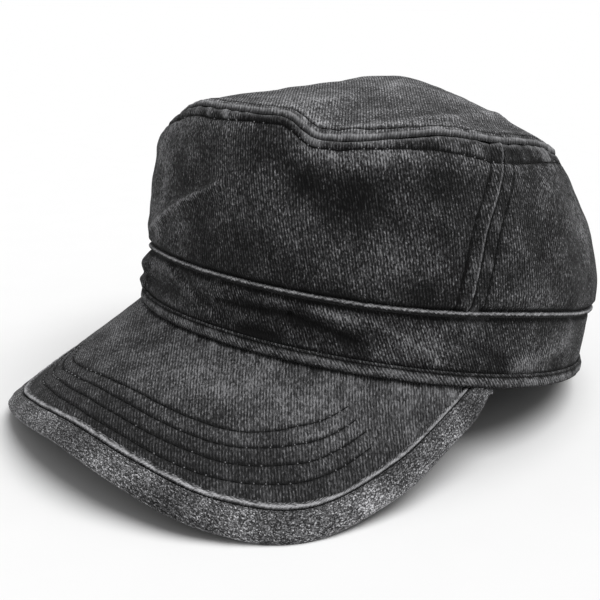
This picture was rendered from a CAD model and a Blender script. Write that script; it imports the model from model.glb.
"""A patrol cap of washed black cotton twill, as it rests on a pale studio floor.

The cap is shaped level, in its own frame: the middle of the band's lower edge is the origin, -Y is
the front, +X the wearer's left and +Z up. settled() then tips it back until it rests on the back of
its band and on its peak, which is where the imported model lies. Angles run round the head in degrees
from the front, positive to the wearer's left. All lengths are metres.
"""

import bmesh
import bpy
import numpy as np
from mathutils import Matrix, Vector


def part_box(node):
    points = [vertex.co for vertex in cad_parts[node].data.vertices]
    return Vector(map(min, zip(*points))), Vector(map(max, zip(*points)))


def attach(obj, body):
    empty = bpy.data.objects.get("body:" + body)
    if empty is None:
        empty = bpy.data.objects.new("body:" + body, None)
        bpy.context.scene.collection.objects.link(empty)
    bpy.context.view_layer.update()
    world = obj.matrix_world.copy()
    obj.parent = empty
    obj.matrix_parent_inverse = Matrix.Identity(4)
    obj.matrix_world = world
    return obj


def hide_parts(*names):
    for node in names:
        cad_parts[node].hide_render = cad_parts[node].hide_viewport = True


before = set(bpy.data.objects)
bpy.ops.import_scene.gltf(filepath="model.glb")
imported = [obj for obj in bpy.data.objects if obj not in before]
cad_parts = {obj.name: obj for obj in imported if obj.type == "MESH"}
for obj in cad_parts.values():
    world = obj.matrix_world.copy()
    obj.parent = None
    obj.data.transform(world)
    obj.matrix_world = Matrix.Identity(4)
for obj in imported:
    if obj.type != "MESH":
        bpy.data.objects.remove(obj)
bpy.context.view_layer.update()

MM = 0.001

# Sizes of the band
BAND_HALF_WIDTH = 91.4 * MM
BAND_HALF_LENGTH = 98 * MM
BAND_FRONT_HEIGHT = 20.8 * MM
BAND_BACK_HEIGHT = 25.2 * MM
BAND_TAPER = 2 * MM
BAND_THICKNESS = 2.4 * MM
WELT_HEIGHT = 4.8 * MM
WELT_THICKNESS = 1.1 * MM
PIPING_HEIGHT = 2.6 * MM
PIPING_THICKNESS = 3 * MM
PIPING_PROUD = 1 * MM

# Sizes of the crown
CROWN_HEIGHT = 84 * MM
DOME_HEIGHT = 105.2 * MM
CLOTH_THICKNESS = 1.7 * MM
SIDE_SEAM_ANGLE = 62.8
SIDE_SEAM_WIDTH = 6.6 * MM

# Sizes of the peak
PEAK_HALF_WIDTH = 92 * MM
PEAK_REACH = 117.5 * MM
PEAK_DROP = 43.4 * MM
PEAK_TIP_ANGLE = 73.4
PEAK_THICKNESS = 3 * MM
BINDING_WIDTH_RIGHT = 7.2 * MM
BINDING_WIDTH_LEFT = 11.3 * MM
BINDING_PROUD = 0.6 * MM
RIM_WIDTH = 2.4 * MM
RIM_PROUD = 1 * MM

GAP = 0.3 * MM
SETTLE = 0.6 * MM

# Stitching
THREAD = 0.4 * MM
STITCH_PITCH = 3.7 * MM
DOME_STITCH_INSET = 3.6 * MM
FOLD_STITCH_INSET = 4.8 * MM
SIDE_STITCH_SHARE = 0.82

# The crown's wall from the front round to the back: angle, seam height, lean, lateness, roundness
CROWN_ROWS = np.array([
    (0, 0.94, 0.03, 9, 0.1),
    (30, 0.955, 0.045, 9, 0.1),
    (60, 0.98, 0.1, 5, 0.2),
    (80, 1.004, 0.17, 3.2, 0.2),
    (100, 0.998, 0.265, 1.95, 0.28),
    (125, 0.986, 0.315, 1.85, 0.32),
    (155, 0.98, 0.27, 2, 0.4),
    (180, 0.975, 0.25, 2.1, 0.4),
])
SEAM, LEAN, LATE, ROUND = 1, 2, 3, 4

# Dips of the top seam: start, deepest, end, the drop as a share of the crown's height, and the
# power by which the dip dies away into the dome
SEAM_DIPS = [(16.5, 25.5, 54, 0.074, 4), (-6, -38, -80, 0.098, 2)]

# Rises and a sag of the band's top: angle, spread and height
BAND_RISES = [(80, 25, 2.2 * MM), (-80, 25, 2.2 * MM), (-42, 14, -2.2 * MM)]

# Creases: from angle and rise, to angle and rise, spread and depth as shares of the wall's height
CROWN_CREASES = [
    (22, 0.74, 33, 0.58, 0.12, -0.06),
    (-25, 0.12, 5, 0.52, 0.05, 0.025),
    (-18, 0.06, -14, 0.2, 0.035, -0.02),
    (-9, 0.05, -5, 0.2, 0.035, -0.02),
    (40, 0.3, 54, 0.45, 0.16, 0.03),
    (92, 0.17, 130, 0.14, 0.13, 0.016),
    (-56, 0.9, -26, 0.9, 0.16, 0.06),
    (150, 0.6, 175, 0.3, 0.1, -0.03),
    (-100, 0.5, -130, 0.3, 0.12, -0.035),
    (-60, 0.55, -45, 0.3, 0.12, 0.03),
]
BAND_CREASES = [
    (-58, 0.74, -26, 0.7, 0.2, 0.15),
    (-55, 0.34, -27, 0.34, 0.13, 0.13),
    (-8, 0.85, 12, 0.4, 0.14, -0.04),
    (14, 0.8, 34, 0.35, 0.14, -0.04),
    (150, 0.7, 175, 0.5, 0.14, -0.04),
]

# The peak's outer edge from its right tip to its left: across, forward and drop, as shares
PEAK_OUTLINE = np.array([
    (-0.971, 0, 0.026),
    (-0.98, 0.208, 0.315),
    (-0.972, 0.451, 0.72),
    (-0.862, 0.693, 0.975),
    (-0.643, 0.872, 1),
    (-0.333, 0.97, 0.893),
    (0, 1, 0.827),
    (0.333, 0.97, 0.893),
    (0.643, 0.872, 1),
    (0.885, 0.693, 0.988),
    (0.985, 0.42, 0.7),
    (0.985, 0.208, 0.375),
    (0.971, 0, 0.026),
])

MEAN_RADIUS = (BAND_HALF_WIDTH + BAND_HALF_LENGTH) / 2
ARC = np.radians(1) * MEAN_RADIUS


def ease(value, low, high):
    """0 below low, 1 above high and 3t^2 - 2t^3 between."""
    t = np.clip((value - low) / (high - low), 0, 1)
    return t * t * (3 - 2 * t)


def mix(low, high, share):
    return low + (high - low) * share


def hill(distance, width):
    """A bell of height 1: e to the minus (distance / width) squared."""
    return np.exp(-(distance / width) ** 2)


def turned(angle):
    """An angle brought to between -180 and 180."""
    return (np.asarray(angle, float) + 180) % 360 - 180


def crown_column(column, angle):
    """A column of CROWN_ROWS at an angle, eased between rows and the same on both sides."""
    side = np.abs(turned(angle))
    after = np.clip(np.searchsorted(CROWN_ROWS[:, 0], side), 1, len(CROWN_ROWS) - 1)
    low, high = CROWN_ROWS[after - 1], CROWN_ROWS[after]
    share = ease(side, low[..., 0], high[..., 0])
    return mix(low[..., column], high[..., column], share)


def oval(angle, out=0.0):
    """The band's oval pushed out by a length: half axes a + out and b + out, with a less by the
    taper times -cos(angle) behind the middle."""
    a = np.radians(angle)
    x = (BAND_HALF_WIDTH - BAND_TAPER * np.maximum(0, -np.cos(a)) + out) * np.sin(a)
    y = -(BAND_HALF_LENGTH + out) * np.cos(a)
    return np.stack([x, y, np.zeros_like(x)], -1)


def band_top(angle):
    """The height of the band's top: a cosine from front to back, and the bells of BAND_RISES."""
    height = mix(BAND_FRONT_HEIGHT, BAND_BACK_HEIGHT, (1 - np.cos(np.radians(angle))) / 2)
    for at, spread, rise in BAND_RISES:
        height = height + rise * hill(turned(angle) - at, spread)
    return height


def wall_foot(angle):
    return band_top(angle) + PIPING_HEIGHT + GAP


def seam_drop(angle, share=1.0):
    """How far the dips lower the top seam, eased in from start to deepest and out to end, and the
    dome at a share of the way out to it, times share^fade."""
    at = turned(angle)
    drop = np.zeros_like(at)
    for start, deepest, end, deep, fade in SEAM_DIPS:
        way = np.sign(end - start)
        into = ease(at * way, start * way, deepest * way)
        out = 1 - ease(at * way, deepest * way, end * way)
        drop = drop + deep * CROWN_HEIGHT * into * out * share ** fade
    return drop


def seam_height(angle):
    return crown_column(SEAM, angle) * CROWN_HEIGHT - seam_drop(angle)


def creased(rows, angle, rise, height):
    """The sum of the creases: each is depth * bell(distance from its line / spread)."""
    x, y = turned(angle) * ARC, rise * height
    out = np.zeros_like(x + y)
    for from_angle, from_rise, to_angle, to_rise, spread, depth in rows:
        x0, x1 = from_angle * ARC, to_angle * ARC
        y0, y1 = from_rise * height, to_rise * height
        dx, dy = x1 - x0, y1 - y0
        share = np.clip(((x - x0) * dx + (y - y0) * dy) / (dx * dx + dy * dy), 0, 1)
        away = np.hypot(x - x0 - share * dx, y - y0 - share * dy)
        out += depth * height * hill(away, spread * height)
    return out


def wall(angle, rise):
    """The crown's wall, rise 0 at the piping and 1 at the top seam: the oval, scaled by
    1 - lean * rise^late and a slight belly, and pushed out by the creases."""
    height = seam_height(angle) - wall_foot(angle)
    belly = 0.012 * np.sin(np.pi * np.minimum(1, rise * 1.1))
    lean = crown_column(LEAN, angle) * np.maximum(0, rise) ** crown_column(LATE, angle)
    held = np.sqrt(np.maximum(0, np.sin(np.pi * np.clip(rise, 0, 1))))
    point = oval(angle, creased(CROWN_CREASES, angle, rise, height) * held)
    point *= (1 - lean + belly)[..., None]
    point[..., 2] = wall_foot(angle) + rise * height
    return point


def dome(angle, share):
    """The top panel, share 0 in its middle and 1 at the seam: the seam's outline scaled by share,
    with a height that falls as sqrt(share^2 + round^2), less the dips."""
    bend = crown_column(ROUND, angle)
    fall = (np.hypot(share, bend) - bend) / (np.hypot(1, bend) - bend)
    point = wall(angle, np.ones_like(share))
    edge = point[..., 2] + seam_drop(angle) + GAP + CLOTH_THICKNESS
    point *= share[..., None]
    point[..., 2] = mix(DOME_HEIGHT, edge, fall) - seam_drop(angle, share)
    return point


def band_face(angle, rise):
    """The band's face, rise 0 at its lower edge and 1 at its top."""
    height = band_top(angle)
    point = oval(angle, creased(BAND_CREASES, angle, rise, height) - WELT_THICKNESS - GAP)
    point[..., 2] = rise * height
    return point


def peak_edge(share):
    """The peak's outer edge, share -1 and 1 at the tips: a centripetal spline through the outline."""
    knots = PEAK_OUTLINE * (PEAK_HALF_WIDTH, -PEAK_REACH, -PEAK_DROP)
    knots[:, 1] += oval(np.array(PEAK_TIP_ANGLE))[1]
    padded = np.concatenate([2 * knots[:1] - knots[1:2], knots, 2 * knots[-1:] - knots[-2:-1]])
    at = np.clip((np.asarray(share, float) + 1) / 2, 0, 1) * (len(knots) - 1)
    i = np.minimum(at.astype(int), len(knots) - 2)
    t = (at - i)[..., None]
    p0, p1, p2, p3 = (padded[i + k] for k in range(4))
    d0, d1, d2 = (np.linalg.norm(b - a, axis=-1, keepdims=True) ** 0.5
                  for a, b in ((p0, p1), (p1, p2), (p2, p3)))
    m1 = ((p1 - p0) / d0 - (p2 - p0) / (d0 + d1) + (p2 - p1) / d1) * d1
    m2 = ((p2 - p1) / d1 - (p3 - p1) / (d1 + d2) + (p3 - p2) / d2) * d1
    return ((2 * t ** 3 - 3 * t ** 2 + 1) * p1 + (t ** 3 - 2 * t ** 2 + t) * m1
            + (3 * t ** 2 - 2 * t ** 3) * p2 + (t ** 3 - t ** 2) * m2)


def peak_face(share, reach):
    """The peak's upper face: straight lines from the band's lower edge, reach 0, to the outer edge."""
    inner = oval(share * PEAK_TIP_ANGLE, -WELT_THICKNESS)
    inner[..., 2] = -GAP - BINDING_PROUD * share ** 4
    return mix(inner, peak_edge(share), np.asarray(reach)[..., None])


def peak_length(share):
    share = np.asarray(share, float)
    return np.linalg.norm(peak_face(share, share * 0 + 1) - peak_face(share, share * 0), axis=-1)


# Where the cap rests: it leans back on its band until the peak's lowest place also touches
edge_places = peak_edge(np.linspace(-1, 1, 41))
under = (PEAK_THICKNESS + BINDING_PROUD) / 2
rest_angle = np.arctan2(under - edge_places[:, 2], BAND_HALF_LENGTH - edge_places[:, 1]).max()
REST_SIN, REST_COS = np.sin(rest_angle), np.cos(rest_angle)
FLOOR_HEIGHT = REST_SIN * BAND_HALF_LENGTH - SETTLE


def tipped(points):
    """Points turned about the X axis so that the front rises, and lifted onto the floor."""
    x, y, z = points[..., 0], points[..., 1], points[..., 2]
    return np.stack([x, REST_COS * y + REST_SIN * z, REST_COS * z - REST_SIN * y + FLOOR_HEIGHT], -1)


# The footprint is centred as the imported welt's box says
round_angles = np.linspace(0, 360, 721)
own_welt = tipped(np.concatenate([oval(round_angles), oval(round_angles) + (0, 0, WELT_HEIGHT * 0.85)]))
welt_low, welt_high = (np.array(corner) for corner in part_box("band_welt"))
SHIFT = (welt_low + welt_high - own_welt.min(0) - own_welt.max(0)) / 2 * (1, 1, 0)


def settled(points):
    """Points of the level cap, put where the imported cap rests. Nothing lies below the floor."""
    placed = tipped(points) + SHIFT
    placed[..., 2] = np.maximum(placed[..., 2], 0)
    return placed


rng = np.random.default_rng(7)
LATTICE = 48
lattice_values = rng.uniform(-1, 1, (LATTICE, LATTICE, LATTICE))


def cloth_noise(points, size, offset=0.0):
    """Smooth noise between -1 and 1: random values on a lattice of that size, eased between."""
    at = points / size + offset
    low = np.floor(at).astype(int)
    t = at - low
    t = t * t * (3 - 2 * t)
    total = np.zeros(points.shape[:-1])
    for corner in np.ndindex(2, 2, 2):
        weight = np.prod(np.where(corner, t, 1 - t), axis=-1)
        i, j, k = ((low[..., axis] + corner[axis]) % LATTICE for axis in range(3))
        total += weight * lattice_values[i, j, k]
    return total


def rubbed(points, size, offset):
    """Smooth noise between 0 and 1."""
    return 0.5 + 0.5 * cloth_noise(points, size, offset)


def sway(along, size, offset):
    """Smooth noise between -1 and 1 along a line."""
    return cloth_noise(np.stack([along] * 3, -1), size, offset)


def pucker(along, across, pitch, slant=0.5, stretch=0.3, offset=0.0):
    """Noise that runs in ridges across a seam, one to a pitch, and leans by the slant."""
    along, across = np.broadcast_arrays(along, across)
    flat = np.stack([along - slant * across, across * stretch, np.zeros_like(along)], -1)
    return cloth_noise(flat, pitch, offset)


def spaced(count, pull):
    """Shares from 0 to 1 that lie closer together at both ends: t - pull * sin(2 pi t) / (2 pi)."""
    t = np.linspace(0, 1, count)
    return t - pull * np.sin(2 * np.pi * t) / (2 * np.pi)


def grid_normals(points, closed):
    """Unit normals of a grid of points, by the cross product of its two central differences."""
    if closed:
        along = np.roll(points, -1, 0) - np.roll(points, 1, 0)
    else:
        along = np.gradient(points, axis=0)
    up = np.gradient(points, axis=1)
    normal = np.cross(along, up)
    return normal / np.maximum(np.linalg.norm(normal, axis=-1, keepdims=True), 1e-12)


def woven_mesh(name, sections, closed, uv, wear, fade, lap=0.0):
    """A closed body through sections that each run once round. sections is (count, round, 3) and uv,
    in metres, (count, round, 2). wear and fade, both (count, round), become point attributes. On a
    closed ring the last faces reach on to u + lap, so the cloth doesn't run back."""
    count, size = sections.shape[:2]
    index = np.arange(count * size).reshape(count, size)
    here = index if closed else index[:-1]
    ahead = np.roll(index, -1, 0) if closed else index[1:]
    quads = np.stack([here, ahead, np.roll(ahead, -1, 1), np.roll(here, -1, 1)], -1).reshape(-1, 4)
    if not closed:
        j = np.arange(size // 2 - 1)
        corners = [j, j + 1, size - 2 - j, size - 1 - j]
        first = np.stack([index[0, k] for k in corners], -1)
        last = np.stack([index[-1, corners[k]] for k in (1, 0, 3, 2)], -1)
        quads = np.concatenate([quads, first, last])
    coordinates = uv.reshape(-1, 2)[quads]
    if closed:
        coordinates[-size:, 1:3, 0] += lap
    mesh = bpy.data.meshes.new(name)
    mesh.from_pydata(settled(sections).reshape(-1, 3), [], quads)
    mesh.uv_layers.new(name="cloth").data.foreach_set("uv", coordinates.astype(np.float32).reshape(-1))
    for label, values in (("wear", wear), ("fade", fade)):
        layer = mesh.attributes.new(label, "FLOAT", "POINT")
        layer.data.foreach_set("value", np.clip(values, -1, 1).astype(np.float32).reshape(-1))
    return finished(name, mesh)


def added(name, data):
    """A new object of the scene, at the origin, for a mesh, a light or a camera."""
    made = bpy.data.objects.new(name, data)
    bpy.context.collection.objects.link(made)
    return made


def smooth_piece(name, mesh):
    mesh.polygons.foreach_set("use_smooth", np.ones(len(mesh.polygons), bool))
    return added(name, mesh)


def finished(name, mesh):
    """The mesh as an object of the scene: doubles merged, faces out, shaded smooth."""
    work = bmesh.new()
    work.from_mesh(mesh)
    bmesh.ops.remove_doubles(work, verts=work.verts, dist=1e-6)
    bmesh.ops.dissolve_degenerate(work, edges=work.edges, dist=1e-7)
    bmesh.ops.recalc_face_normals(work, faces=work.faces)
    work.to_mesh(mesh)
    work.free()
    return smooth_piece(name, mesh)


def both_faces(outer, inner):
    """Sections that run up the outer face and back down the inner one."""
    return np.concatenate([outer, inner[:, ::-1]], axis=1)


def two_faces(name, outer, inner, closed, uv, wear, fade, lap=0.0, worn=0.2, faded=0.5):
    """A body between an outer and an inner grid. The inside has a share of the wear and the fade."""
    return woven_mesh(name, both_faces(outer, inner), closed, both_faces(uv, uv),
                      both_faces(wear, wear * worn), both_faces(fade, fade * faded), lap)


def cloth_piece(name, outer, closed, thickness, uv, wear, fade, lap=0.0):
    """A wall of cloth: the outer grid, and the same grid set in by the thickness along its normals."""
    inner = outer - grid_normals(outer, closed) * thickness
    return two_faces(name, outer, inner, closed, uv, wear, fade, lap)


def on_grid(grid, u, v, closed):
    """Values of a grid at fractional rows u and columns v, eased linearly between its points."""
    rows, columns = grid.shape[:2]
    u0 = np.floor(u).astype(int)
    v0 = np.clip(np.floor(v).astype(int), 0, columns - 2)
    fv = (v - v0)[..., None]
    if closed:
        fu = (u - u0)[..., None]
        u0, u1 = u0 % rows, (u0 + 1) % rows
    else:
        u0 = np.clip(u0, 0, rows - 2)
        u1 = u0 + 1
        fu = np.clip(u - u0, 0, 1)[..., None]
    low = mix(grid[u0, v0], grid[u0, v0 + 1], fv)
    high = mix(grid[u1, v0], grid[u1, v0 + 1], fv)
    return mix(low, high, fu)


STITCH_RINGS = 5
STITCH_SIDES = 6
# How high the noise, between -1 and 1, has to be for a stitch hole to show a fleck
FLECK_RARITY = 0.12


def stitch_run(path, normals, closed=False, length=0.93, thread=THREAD, lift=0.35, holes=False):
    """Stitches along a path on cloth: each is a short tube that rises from one hole and dives into
    the next, its height lift * (1 - (2t)^2) - lift/2 threads. With holes it gives specks at some of
    the holes instead. Returns points and quads."""
    if closed:
        path = np.concatenate([path, path[:1]])
        normals = np.concatenate([normals, normals[:1]])
    reach = np.concatenate([[0], np.cumsum(np.linalg.norm(np.diff(path, axis=0), axis=1))])
    count = max(1, int(reach[-1] / STITCH_PITCH))
    step = reach[-1] / count
    middles = np.arange(count) + (1.0 if holes else 0.5)
    if holes:
        shown = sway(middles * 0.4, 1.0, reach[-1] * 50) > FLECK_RARITY
        middles = middles[shown]
        count = len(middles)
    t = np.linspace(-0.5, 0.5, STITCH_RINGS)
    at = (middles[:, None] + t[None] * length) * step
    line = np.stack([np.interp(at, reach, path[:, k]) for k in range(3)], -1)
    up = np.stack([np.interp(at, reach, normals[:, k]) for k in range(3)], -1)
    up /= np.linalg.norm(up, axis=-1, keepdims=True)
    along = np.gradient(line, axis=1)
    along /= np.linalg.norm(along, axis=-1, keepdims=True)
    side = np.cross(along, up)
    line = line + up * (lift * (1 - (2 * t) ** 2) - lift * 0.5)[None, :, None] * thread
    girth = thread / 2 * (1 - 0.45 * np.abs(2 * t) ** 3)[None, :, None, None]
    turn = np.linspace(0, 2 * np.pi, STITCH_SIDES, endpoint=False)[None, None, :, None]
    ring = side[:, :, None] * np.cos(turn) + up[:, :, None] * np.sin(turn)
    points = (line[:, :, None] + ring * girth).reshape(-1, 3)
    base = np.arange(count)[:, None, None] * STITCH_RINGS * STITCH_SIDES
    i = np.arange(STITCH_RINGS - 1)[None, :, None] * STITCH_SIDES
    j = np.arange(STITCH_SIDES)[None, None, :]
    k = (j + 1) % STITCH_SIDES
    quads = (base + i)[..., None] + np.stack([j, k, STITCH_SIDES + k, STITCH_SIDES + j], -1)
    low = base[:, 0] + np.array([[0, 5, 4, 3], [0, 3, 2, 1]]).reshape(1, -1)
    top = (STITCH_RINGS - 1) * STITCH_SIDES
    high = base[:, 0] + top + np.array([[0, 1, 2, 3], [0, 3, 4, 5]]).reshape(1, -1)
    return points, np.concatenate([quads.reshape(-1, 4), low.reshape(-1, 4), high.reshape(-1, 4)])


def stitches(name, runs):
    """Runs of stitches joined in one mesh."""
    points, quads, total = [], [], 0
    for run_points, run_quads in runs:
        points.append(run_points)
        quads.append(run_quads + total)
        total += len(run_points)
    mesh = bpy.data.meshes.new(name)
    mesh.from_pydata(settled(np.concatenate(points)), [], np.concatenate(quads))
    return smooth_piece(name, mesh)


class Cloth:
    """A grid of the cap's cloth, to lay stitches on."""

    def __init__(self, grid, closed):
        self.grid = grid
        self.normals = grid_normals(grid, closed)
        self.closed = closed

    def run(self, u, v, **sizes):
        path = on_grid(self.grid, u, v, self.closed)
        return stitch_run(path, on_grid(self.normals, u, v, self.closed), **sizes)


def seam_angle(rise):
    """The side seam, which swings back a little where it nears the top."""
    return SIDE_SEAM_ANGLE * (1 + 0.05 * ease(rise, 0.45, 0.95))


# How far below the top seam the topstitch runs: angle, drop
TOPSTITCH_PLACES = np.array([(-180, 4.5), (-26, 3.9), (4, 3.5), (21, 2.7), (36, 2.8), (50, 4.6), (62, 6.3),
                             (68, 6.7), (76, 6), (98, 3.2), (130, 4), (180, 4.5)])

# Washed places of the wall: angle, rise, spreads along and up in mm, and how pale (or dark)
CROWN_WASH = [
    (33, 0.87, 16, 4, 0.55), (52, 0.84, 10, 4, 0.3), (5, 0.86, 12, 5, 0.15), (40, 0.27, 13, 10, 0.32),
    (26, 0.4, 10, 8, 0.12), (24, 0.7, 9, 6, -0.6), (34, 0.62, 12, 7, -0.3), (53, 0.73, 11, 6, -0.5),
    (54, 0.08, 12, 5, -0.5), (38, 0.04, 12, 4, -0.3), (75, 0.8, 4, 8, -0.4), (77, 0.66, 4, 10, 0.3),
    (98, 0.55, 12, 12, 0.3), (92, 0.12, 10, 7, -0.35), (-15, 0.87, 9, 6, 0.35), (-9, 0.57, 6, 9, -0.3),
    (-18, 0.45, 5, 12, 0.5), (-20, 0.12, 6, 6, 0.4), (-8, 0.24, 8, 8, 0.34), (-22, 0.75, 6, 8, 0.4),
    (-13, 0.45, 9, 12, 0.22), (12, 0.71, 10, 7, -0.25), (12, 0.28, 10, 7, -0.15), (2, 0.06, 14, 5, -0.3),
    (74, 0.39, 7, 10, 0.12), (82, 0.09, 10, 5, 0.1), (150, 0.5, 20, 14, 0.2), (190, 0.6, 16, 12, -0.25),
    (225, 0.4, 18, 14, 0.25), (250, 0.7, 14, 9, -0.3), (-60, 0.5, 14, 12, 0.2), (-75, 0.2, 14, 8, -0.25),
]


# The one crisp crease of the front, worn pale along its crest, as in CROWN_CREASES
FINE_CREASE = (-24, 0.13, 5, 0.53, 0.017, 0.012)


def topstitch_drop(angle):
    level = np.interp(turned(angle), *TOPSTITCH_PLACES.T)
    return (level + 0.35 * sway(np.asarray(angle) * ARC, 9 * MM, 3.4)) * MM


def washed(rows, angle, rise, height):
    """The sum of the washed places, each a bell round its place."""
    total = np.zeros_like(angle + rise)
    for at, up, wide, tall, strength in rows:
        away = turned(angle - at) * ARC / (wide * MM)
        total += strength * np.exp(-away ** 2 - ((rise - up) * height / (tall * MM)) ** 2)
    return total


def crown_detail(place, angle, rise, height):
    """The relief in metres, wear and fade of the crown's wall. The cloth rolls in at the top seam and
    the piping, stands full between the seam and its topstitch, sinks in a groove under each row of
    stitches, gathers in short puckers along them, and is loosely wrinkled all over."""
    down, up, along = np.maximum(0, 1 - rise) * height, np.maximum(0, rise) * height, angle * ARC
    stitch = topstitch_drop(angle)
    gathers = pucker(along, down, 2.6 * MM, 0.6, 0.25, 5.2)
    puffs = pucker(along, down, 4.5 * MM, 0.7, 0.3, 2.7)
    broad = cloth_noise(place, 24 * MM, 1.7)
    loose = cloth_noise(place, 10 * MM, 9.1)
    small = cloth_noise(place, 4.5 * MM, 4.4)
    inside = ease(down, stitch - 0.5 * MM, stitch)
    fullness = 1 - 0.75 * ease(np.abs(turned(angle)), 72, 98)
    fine_crease = creased([FINE_CREASE], angle, rise, height) / (FINE_CREASE[-1] * height)
    open_wall = ease(up, 0, 8 * MM) * ease(down, stitch, stitch + 9 * MM)
    full = 0.35 * np.sin(np.pi * np.clip(down / stitch, 0, 1)) + 0.4 * puffs + 0.3 * gathers
    out = (0.75 * broad + 0.45 * loose + 0.16 * small) * open_wall
    out += (1 - inside) * fullness * full
    out += inside * 0.28 * (gathers + puffs) * hill(down - stitch, 5 * MM)
    out += 0.25 * (gathers + small) * hill(up - 2 * MM, 4 * MM)
    out -= (0.2 + 0.35 * fullness) * hill(down - stitch, 0.5 * MM)
    out -= 1.1 * hill(np.abs(turned(angle)) - 105, 24) * np.sin(np.pi * np.clip(rise * 1.15, 0, 1))
    out -= 0.6 * hill(down, 0.5 * MM) + 0.8 * ease(rise, 1, 1.012)
    out -= 1.5 * hill(up, 1.2 * MM)
    out += 0.5 * fine_crease
    rub = rubbed(place, 2.2 * MM, 3.3)
    wear = 0.5 * hill(down - 0.7 * MM, 0.8 * MM) * rub
    wear += 0.3 * (1 - inside) * ease(puffs + gathers * 0.5, 0.1, 0.8)
    fade = washed(CROWN_WASH, angle, rise, height) + 0.22 * broad + 0.2 * loose + 0.16 * small
    fade += 0.85 * fine_crease * (0.7 + 0.5 * small) + (1 - inside) * 0.55 * (puffs + 0.6 * gathers)
    fade += 0.28 * inside * hill(down - stitch - 1.5 * MM, 1.8 * MM) * (0.6 + gathers)
    fade -= 0.8 * hill(down - stitch, 0.45 * MM) + 0.9 * hill(down, 0.4 * MM) + 0.7 * hill(up, 1.2 * MM)
    return out, wear, fade


def front_ends(away, along, out, wear, fade):
    """The front panel's ends fold over the side seams: raised over their last few millimetres, worn
    along the fold, with a groove of stitches further in."""
    puffs = pucker(along, away, 2.4 * MM, 0.8, 0.3, 8.1)
    out += 0.5 * ease(-away, -4 * MM, -0.5 * MM)
    out -= 0.4 * hill(away - FOLD_STITCH_INSET, 0.6 * MM)
    out += 0.35 * puffs * hill(away - 2.5 * MM, 3 * MM)
    wear += 0.4 * hill(away - 0.3 * MM, 0.35 * MM) * (0.7 + 0.6 * puffs)
    fade += 0.3 * puffs * hill(away - 2.5 * MM, 2.5 * MM) + 0.25 * hill(away - 0.4 * MM, 0.4 * MM)
    fade -= 0.85 * hill(away - FOLD_STITCH_INSET, 0.7 * MM) * (0.8 + puffs)
    return out, wear, fade


def rear_ends(away, along, out, wear, fade):
    """The rear panel's ends are sewn down beside the side seams, with short puckers."""
    puffs = pucker(along, away, 2.6 * MM, 0.8, 0.3, 6.1)
    out += 0.25 * puffs * hill(away, 5 * MM) - 0.2 * hill(away, 0.8 * MM)
    fade += 0.22 * puffs * hill(away - 1 * MM, 4 * MM)
    return out, wear, fade


def sewn_wall(name, angle, rise, shaped):
    """A piece of the crown's wall on a grid of angles and rises. shaped(height, out, wear, fade)
    returns the wall's own relief, wear and fade with the piece's added."""
    base = wall(angle, rise)
    height = seam_height(angle) - wall_foot(angle)
    out, wear, fade = shaped(height, *crown_detail(base, angle, rise, height))
    outer = base + grid_normals(base, False) * out[..., None] * MM
    uv = np.stack([angle * ARC, rise * height], -1)
    piece = cloth_piece(name, outer, False, CLOTH_THICKNESS, uv, wear, fade)
    return piece, Cloth(outer, False), angle, rise, height


def crown_panel(name, from_angle, to_angle, columns, rows, ends):
    """A panel of the crown's wall from one line to another, both angles that vary with the rise."""
    rise = mix(-0.025, 1.02, spaced(rows, 0.62))[None].repeat(columns, 0)
    angle = mix(from_angle(rise), to_angle(rise), spaced(columns, 0.5)[:, None])
    away = np.minimum(angle - from_angle(rise), to_angle(rise) - angle) * ARC
    return sewn_wall(name, angle, rise, lambda height, *parts: ends(away, rise * height, *parts))


seam_width = SIDE_SEAM_WIDTH / ARC
lapped = 0.7 * MM / ARC

front_panel, front_cloth, *front_places = crown_panel(
    "front_panel_cloth", lambda rise: -seam_angle(rise), seam_angle, 400, 110, front_ends)
rear_panel, rear_cloth, *rear_places = crown_panel(
    "rear_panel_cloth", lambda rise: seam_angle(rise) + seam_width - lapped,
    lambda rise: 360 - seam_angle(rise) - seam_width + lapped, 450, 100, rear_ends)


def side_seam(name, side):
    """The felled seam down one side: a strip tucked under the front panel's fold, with a groove of
    stitches near its rear edge, where it sinks into the rear panel."""
    rows, columns = 150, 22
    tuck = 0.5 * MM
    rise = mix(-0.02, 0.995, spaced(rows, 0.5))[None].repeat(columns, 0)
    across = np.linspace(*((0, 1) if side > 0 else (1, 0)), columns)[:, None]
    width = SIDE_SEAM_WIDTH + tuck

    def shaped(height, out, wear, fade):
        puffs = pucker(rise * height, across * width, 2.4 * MM, -0.9, 0.3, 2.5)
        stitch = hill(across - SIDE_STITCH_SHARE, 0.075)
        out = out * 0.8 + 0.2 + 0.4 * puffs * ease(across, 0.05, 0.3)
        out -= 0.45 * stitch + 0.3 * ease(across, 0.84, 1) + 0.7 * hill(across, 0.13)
        wear = wear + 0.3 * ease(puffs, 0.1, 0.8) * ease(across, 0.1, 0.3) * (1 - ease(across, 0.7, 0.8))
        fade = fade - 1.3 * hill(across - 0.1, 0.075) - 0.7 * stitch * (0.8 + puffs) + 0.4 * puffs - 0.1
        return out, wear, fade

    angle = side * (seam_angle(rise) + (across * width - tuck) / ARC)
    return sewn_wall(name, angle, rise, shaped)[:2]


seam_left, seam_left_cloth = side_seam("side_seam_left_cloth", 1)
seam_right, seam_right_cloth = side_seam("side_seam_right_cloth", -1)

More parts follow.
